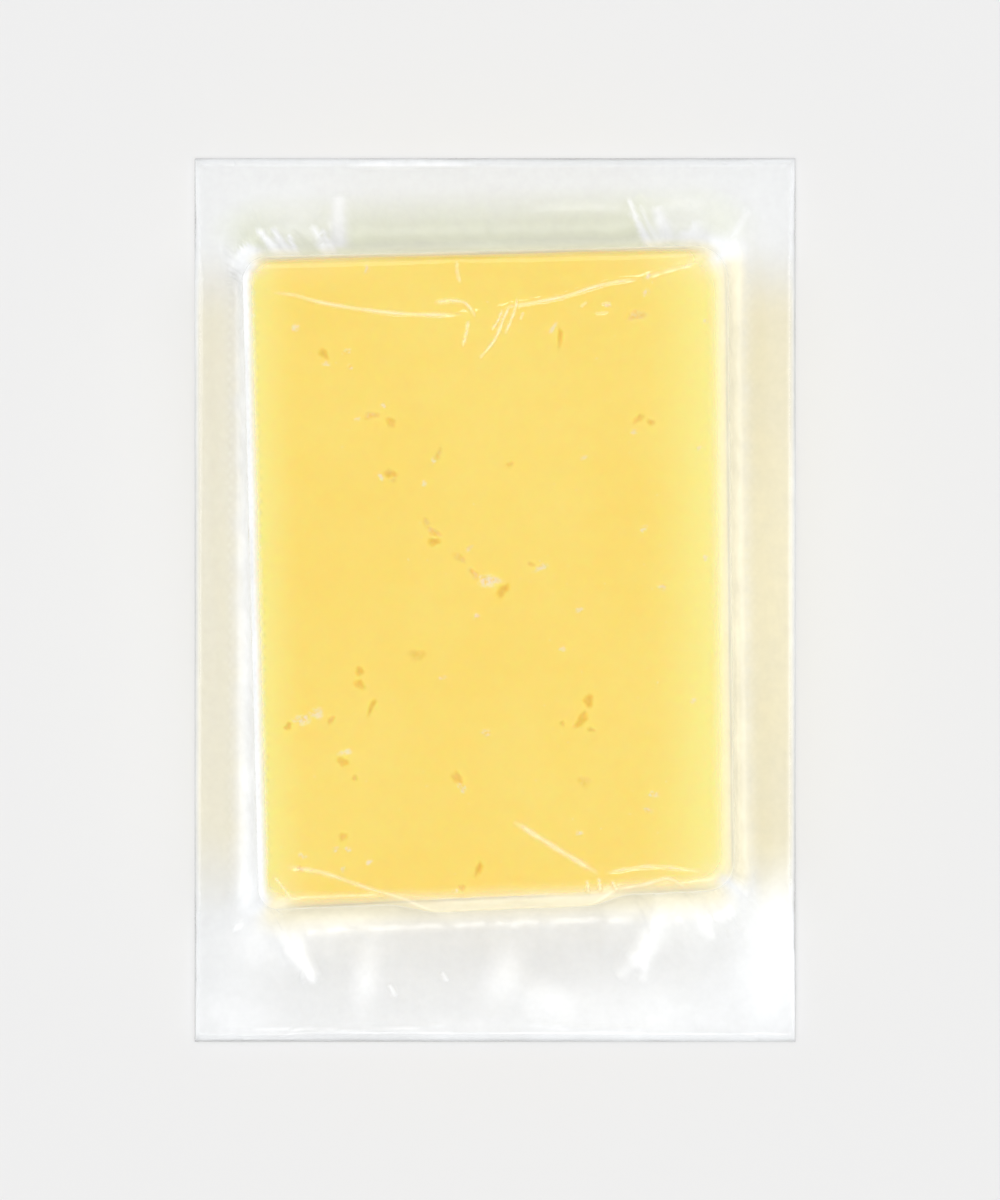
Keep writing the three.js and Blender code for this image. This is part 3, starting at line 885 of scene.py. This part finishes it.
def make_front_web():
    """The drawn web: taut over the face, pleated near its ends, folded at its corners, flat at the weld."""
    zones = [(curve(c.points), 0.6, 3) for c in CREASES]
    zones += [(to_sheet(curve(c.points)), 1.5, 1) for c in FLANGE_CREASES + STREAKS]
    loop = web_loop(FRONT_WEB_STEP)
    zones += [(closed(loop), 2.6, 1)]
    zones += [(curve([(-26, -70), (0, -71), (31, -68)]), 3.2, 2)]
    for fold in FOLDS:
        foot, out, _ = to_outline(np.array([fold.root], dtype=float))
        zones += [(np.vstack([foot + out * 3, foot + out * (DROP + 6)]), 1.5 * fold.width, 1)]
    p, faces = triangulate(loop, FRONT_WEB_STEP, zones)
    foot, out, _ = to_outline(p)
    place, offset, welded, on_foot, on_wall, lip_haze, t = drape(p)
    rise = 0.22 * slack_band(p) + 0.05 * waves(p, 24, 41)
    # creased also whitens the film's haze along the creases: partly real whitening of creased film and partly
    # a painted highlight
    creased = np.zeros(len(p))
    for crease in CREASES:
        distance, share = near_line(p, curve(crease.points), 4 * crease.width)
        uneven = 1 + 0.25 * np.sin(23 * share + len(crease.points))
        ridge = uneven * np.exp(-(distance / crease.width) ** 2) * taper(share)
        rise += crease.height * ridge
        creased = np.maximum(creased, 1.3 * crease.height * ridge)
    for x, y, long, wide, turn, deep, _ in front_eyes():
        rise -= min(0.3, 0.25 * deep) * np.exp(-rolled(p, (x, y), (0.55 * long, 0.55 * wide), turn) ** 2)
    place[:, 2] += rise * (1 - ease(t, 0, SHOULDER_ARC))
    draw = 0.10 * waves(np.column_stack([(p @ np.array([1.0, 1.0])), t * 0.15]), 5, 43)
    normal = facing(place, faces)
    place += normal * (draw * ease(t, 3, 8) * (1 - welded))[:, None]
    place[:, 2] += lift(place[:, :2]) + ridges(place[:, :2])
    solid, solid_faces = thicken(place, faces, WEB, np.arange(len(loop)))
    plan = place[:, :2]
    # The haze layer: the film's own milkiness, more at the weld, with painted light laid into it: painted
    # highlights along the slab's edges, corners, creases, lip, folds and cut edge, and painted light over the
    # shade by the slab's walls.
    haze = CLEAR_HAZE + (WELD_HAZE["front"] - CLEAR_HAZE) * welded
    # the cut edge's haze (0.8 of it below) is a painted white highlight along the edge, and also makes the
    # rim opaque enough to cast a real contact shadow
    edge = cut_edge(plan)
    patch_light_and_fold_white = painted_light_and_fold_white(plan)
    # painted light on the film's foot all round the slab, strongest at the near end, lightening the shade
    # beside its walls
    near_foot = 0.45 + 0.25 * ease(-out[:, 1], 0.5, 1)
    foot_haze = np.minimum(near_foot * on_foot, 0.8)
    for part in (painted_edge_light(foot, out, offset), patch_light_and_fold_white, foot_haze, lip_haze, 0.8 * edge, np.minimum(creased, 0.4)):
        haze = 1 - (1 - haze) * (1 - part)
    haze = haze * (1 - 0.85 * on_wall)
    # the tint layer below is painted cheese-coloured light in the film's haze: over the slab's face, on its
    # right foot, past its near and far edges, and on the flange beside its long sides
    right_foot = towards(out[:, 0]) * (1 - ease(offset, 3, 8))
    cream = np.maximum(cream_tint(plan) * welded * (1 - edge), 0.8 * (1 - ease(t, -2, 3)))
    cream = np.maximum(cream, 0.8 * right_foot)
    cream = np.maximum(cream, 0.9 * towards(-out[:, 1], 0.6) * (1 - ease(offset, 0.5, 9.0)))
    cream = np.maximum(cream, 0.9 * towards(out[:, 1], 0.6) * (1 - ease(offset, 0.5, 3.5)))
    # painted greenish shade colour past the slab's far end, on its foot and the nearby flange, kept off the
    # painted highlights
    far_shade_mask = np.maximum(on_foot, welded * (1 - ease(offset, 9, 16))) * ease(out[:, 1], 0.5, 1)
    far_shade_mask = 0.8 * far_shade_mask * (1 - ease(patch_light_and_fold_white, 0.1, 0.5))
    return make_piece(
        "front_web", solid, solid_faces, film_material("front_web_film"), "film", "front_film",
        haze=np.tile(haze, 2), cream=np.tile(cream, 2), green=np.tile(far_shade_mask, 2),
    )


def cream_tint(plan):
    """Painted cheese-coloured bounce light on the flange, beside the slab's two long sides."""
    middle = ease(plan[:, 1], -74, -50) * (1 - ease(plan[:, 1], 62, 82))
    right = ease(plan[:, 0], 50, 58)
    left = ease(-plan[:, 0], 50, 58)
    return middle * (right + 0.9 * left)


# ---------------------------- the back web

def make_back_web():
    """The flat web: under the slab it lies on the floor, and past it it follows the front web's flange."""
    corners = [(-1, -1), (1, -1), (1, 1), (-1, 1)]
    loop = []
    for a, b in zip(corners, corners[1:] + corners[:1]):
        start, end = POUCH_HIGH[:2] * a, POUCH_HIGH[:2] * b
        count = round(np.linalg.norm(end - start) / BACK_WEB_STEP)
        loop += [start + (end - start) * k / count for k in range(count)]
    loop = np.array(loop)
    p, faces = triangulate(loop, BACK_WEB_STEP, [(closed(loop), 2.4, 1)])
    place = np.column_stack([p, BACK_WEB + lift(p)])
    solid, solid_faces = thicken(place, faces, BACK_WEB, np.arange(len(loop)))
    solid[:, 2] = np.maximum(solid[:, 2], 0)
    haze = CLEAR_HAZE + (WELD_HAZE["back"] - CLEAR_HAZE) * ease(to_outline(p)[2], 2, 8)
    # the same painted cheese-coloured bounce light beside the slab's long sides as on the front web
    return make_piece(
        "back_web", solid, solid_faces, film_material("back_web_film"), "film", "back_film",
        haze=np.tile(haze, 2), cream=np.tile(cream_tint(p), 2), green=np.zeros(2 * len(p)),
    )


# ---------------------------- materials

class Nodes:
    """A small helper that adds nodes to a material and links them."""

    def __init__(self, material):
        material.use_nodes = True
        self.tree = material.node_tree
        self.tree.nodes.clear()

    def add(self, kind, links=(), **settings):
        """A node: settings are its properties, and links says what each input takes, a value or a socket."""
        node = self.tree.nodes.new("ShaderNode" + kind)
        for key, value in settings.items():
            setattr(node, key, value)
        for key, value in dict(links).items():
            socket = node.inputs[key]
            if isinstance(value, bpy.types.NodeSocket):
                self.tree.links.new(value, socket)
            else:
                socket.default_value = value
        return node

    def math(self, operation, a, b=0.0, clamp=False):
        return self.add("Math", {0: a, 1: b}, operation=operation, use_clamp=clamp).outputs[0]

    def mix(self, factor, a, b):
        """Between two colours."""
        node = self.add("Mix", data_type="RGBA")
        for key, value in ((0, factor), (6, a), (7, b)):
            if isinstance(value, bpy.types.NodeSocket):
                self.tree.links.new(value, node.inputs[key])
            else:
                node.inputs[key].default_value = value
        return node.outputs[2]

    def range(self, value, low, high, to_low=0.0, to_high=1.0):
        links = {"Value": value, "From Min": low, "From Max": high, "To Min": to_low, "To Max": to_high}
        return self.add("MapRange", links).outputs[0]

    def layer(self, name):
        return self.add("Attribute", attribute_name=name).outputs["Fac"]

    def noise(self, scale, detail=3.0, rough=0.55, stretch=(1, 1, 1)):
        place = self.add("TexCoord").outputs["Object"]
        mapped = self.add("Mapping", {"Vector": place, "Scale": stretch}).outputs[0]
        links = {"Vector": mapped, "Scale": scale, "Detail": detail, "Roughness": rough}
        return self.add("TexNoise", links).outputs[0]


def linear(red, green, blue):
    """A light colour given as it shows on a screen, from 11 to 255, as Blender's linear values."""
    return tuple(((c / 255 + 0.055) / 1.055) ** 2.4 for c in (red, green, blue)) + (1.0,)


BODY_COLOUR = linear(253, 219, 105)
DEEP_COLOUR = linear(250, 211, 93)
LIGHT_COLOUR = linear(254, 223, 116)
# painted amber shade for the eyes' hollows
EYE_SHADE_COLOUR = linear(238, 206, 70)
# the pale flecks' own colour, also used for the painted glints in the eyes
FLECK_AND_GLINT_COLOUR = linear(253, 234, 206)
# painted glow of side light along the slab's long edges
SIDE_GLOW_COLOUR = linear(252, 238, 150)


def cheese_material():
    """Semi-hard cheese, a little see-through and faintly mottled: painted shade and glints in its eyes, and a
    painted side-light glow along its long sides.
    """
    material = bpy.data.materials.new("cheese")
    n = Nodes(material)
    broad = n.range(n.noise(28, 4, 0.6), 0.35, 0.65)
    curd = n.range(n.noise(330, 4, 0.6), 0.3, 0.7)
    drag = n.range(n.noise(60, 3, 0.6, (0.25, 4.5, 1)), 0.35, 0.7)
    colour = n.mix(broad, BODY_COLOUR, LIGHT_COLOUR)
    colour = n.mix(n.math("MULTIPLY", curd, 0.25), colour, DEEP_COLOUR)
    colour = n.mix(n.math("MULTIPLY", drag, 0.22), colour, LIGHT_COLOUR)
    fleck = n.range(n.noise(950, 2, 0.5), 0.70, 0.78)
    colour = n.mix(n.math("MULTIPLY", fleck, 0.35), colour, FLECK_AND_GLINT_COLOUR)
    # painted glow of side light along the slab's long sides, from the rim layer
    colour = n.mix(n.math("MULTIPLY", n.layer("rim"), 0.9), colour, SIDE_GLOW_COLOUR)
    # painted shade darkening the eyes' hollows, broken up by noise
    mottled = n.range(n.noise(700, 3, 0.6), 0.3, 0.62, 0.45, 1.0)
    colour = n.mix(n.math("MULTIPLY", n.layer("dark"), mottled), colour, EYE_SHADE_COLOUR)
    # painted glints whitening some of the eyes
    patchy = n.range(n.noise(1100, 3, 0.6), 0.35, 0.6)
    colour = n.mix(n.math("MULTIPLY", n.layer("pale"), patchy), colour, FLECK_AND_GLINT_COLOUR)
    bumps = n.math("ADD", n.math("MULTIPLY", n.noise(900, 4, 0.6), 0.6), n.math("MULTIPLY", drag, 0.5))
    bump = n.add("Bump", {"Height": bumps, "Strength": 0.12, "Distance": 0.0003})
    rough = n.range(curd, 0, 1, 0.38, 0.55)
    shader = n.add("BsdfPrincipled", {
        "Base Color": colour, "Roughness": rough, "IOR": 1.45, "Specular IOR Level": 0.3,
        "Normal": bump.outputs[0],
        "Subsurface Weight": 1.0, "Subsurface Radius": (1.0, 0.62, 0.22), "Subsurface Scale": 0.0035,
    })
    n.add("OutputMaterial", {"Surface": shader.outputs[0]})
    return material


HAZE_COLOUR = linear(250, 252, 254)
# painted cheese-coloured light in the film's haze
CHEESE_LIGHT_COLOUR = linear(255, 246, 210)
# painted greenish colour of the shade past the slab's far end
FAR_SHADE_COLOUR = linear(240, 246, 210)


def film_material(name):
    """Clear film: it mirrors a little by Fresnel, and its haze layer says how milky it is at each place, with
    painted highlights and painted light over shade laid into it on the front web.
    """
    material = bpy.data.materials.new(name)
    n = Nodes(material)
    cloud = n.range(n.noise(60, 4, 0.65), 0.3, 0.7, 0.87, 1.12)
    haze = n.math("MULTIPLY", n.layer("haze"), cloud, clamp=True)
    # painted cheese-coloured light in the haze
    colour = n.mix(n.layer("cream"), HAZE_COLOUR, CHEESE_LIGHT_COLOUR)
    # painted greenish tint in the shade past the slab's far end
    colour = n.mix(n.layer("green"), colour, FAR_SHADE_COLOUR)
    bump = n.add("Bump", {"Height": n.noise(420, 3, 0.5), "Strength": 0.06, "Distance": 0.0004})
    clear = n.add("BsdfTransparent", {"Color": (1, 1, 1, 1)})
    milk = n.add("BsdfDiffuse", {"Color": colour})
    body = n.add("MixShader", {0: haze, 1: clear.outputs[0], 2: milk.outputs[0]})
    rough = n.range(n.layer("haze"), 0.02, 0.3, 0.09, 0.25)
    gloss = n.add("BsdfGlossy", {"Color": (1, 1, 1, 1), "Roughness": rough, "Normal": bump.outputs[0]})
    fresnel = n.add("Fresnel", {"IOR": 1.5, "Normal": bump.outputs[0]})
    front = n.add("MixShader", {0: fresnel.outputs[0], 1: body.outputs[0], 2: gloss.outputs[0]})
    behind = n.add("NewGeometry").outputs["Backfacing"]
    whole = n.add("MixShader", {0: behind, 1: front.outputs[0], 2: clear.outputs[0]})
    n.add("OutputMaterial", {"Surface": whole.outputs[0]})
    return material


def floor_material():
    material = bpy.data.materials.new("floor")
    n = Nodes(material)
    grey = (0.8, 0.8, 0.8, 1)
    shader = n.add("BsdfPrincipled", {"Base Color": grey, "Roughness": 0.9, "Specular IOR Level": 0.1})
    n.add("OutputMaterial", {"Surface": shader.outputs[0]})
    return material


# ---------------------------- the studio

def make_floor():
    """A wide floor, just under the pouch."""
    side, level = 6.0, -0.00005
    mesh = bpy.data.meshes.new("floor")
    corners = [(-side, -side), (side, -side), (side, side), (-side, side)]
    mesh.from_pydata([(x, y, level) for x, y in corners], [], [(0, 1, 2, 3)])
    mesh.materials.append(floor_material())
    floor = bpy.data.objects.new("floor", mesh)
    bpy.context.collection.objects.link(floor)
    return floor


def make_sun(name, azimuth, tilt, strength, spread):
    """A soft white light, from azimuth (anticlockwise from +X) and tilt (from straight above)."""
    light = bpy.data.lights.new(name, "SUN")
    light.energy = strength
    light.angle = math.radians(spread)
    sun = bpy.data.objects.new(name, light)
    a, b = math.radians(azimuth), math.radians(tilt)
    towards = Vector((math.cos(a) * math.sin(b), math.sin(a) * math.sin(b), math.cos(b)))
    sun.rotation_euler = towards.to_track_quat("Z", "Y").to_euler()
    bpy.context.collection.objects.link(sun)
    return sun


def light_only(sun, objects):
    """The light reaches these objects and nothing else."""
    group = bpy.data.collections.new(sun.name + "_reaches")
    for obj in objects:
        group.objects.link(obj)
    sun.light_linking.receiver_collection = group


def make_studio(front_web):
    make_floor()
    overhead = make_sun("overhead", 0, 0, 0.5, 24)
    overhead.visible_glossy = False
    make_sun("sheen", 0, 0, 0.35, 80)
    make_sun("key", -75, 26, 0.5, 18)
    make_sun("left", 170, 35, 0.3, 30)
    make_sun("right", 10, 35, 0.3, 30)
    make_sun("far", 100, 35, 0.35, 30)
    low = [
        make_sun("low_left", 180, 66, 0.7, 50),
        make_sun("low_right", 0, 66, 0.72, 50),
        make_sun("low_far", 90, 62, 0.24, 50),
        make_sun("low_near", -90, 58, 0.28, 50),
    ]
    for sun in low:
        light_only(sun, [front_web])
    world = bpy.data.worlds.new("studio")
    world.use_nodes = True
    background = world.node_tree.nodes["Background"]
    background.inputs["Color"].default_value = (1, 1, 1, 1)
    background.inputs["Strength"].default_value = 0.42
    bpy.context.scene.world = world


def make_camera():
    """Straight above the pouch, far enough off that the slab's walls stay hidden."""
    frame_height = 271.8 * MM  # what the picture's long side shows of the floor
    camera = bpy.data.cameras.new("camera")
    camera.lens = 300
    camera.sensor_width = 36
    camera.clip_start, camera.clip_end = 0.1, 20
    obj = bpy.data.objects.new("camera", camera)
    height = frame_height * camera.lens / camera.sensor_width
    obj.location = (1.1 * MM, 0, height)
    bpy.context.collection.objects.link(obj)
    bpy.context.scene.camera = obj


scene = bpy.context.scene
scene.view_settings.view_transform = "Standard"
scene.cycles.use_denoising = True
scene.cycles.transparent_max_bounces = 40
scene.cycles.max_bounces = 6
scene.cycles.diffuse_bounces = 3
scene.cycles.glossy_bounces = 3

pieces = [make_cheese(), make_front_web(), make_back_web()]
make_camera()
make_studio(pieces[1])

for piece in pieces:
    print(piece.name, len(piece.data.vertices), "points", len(piece.data.polygons), "faces")
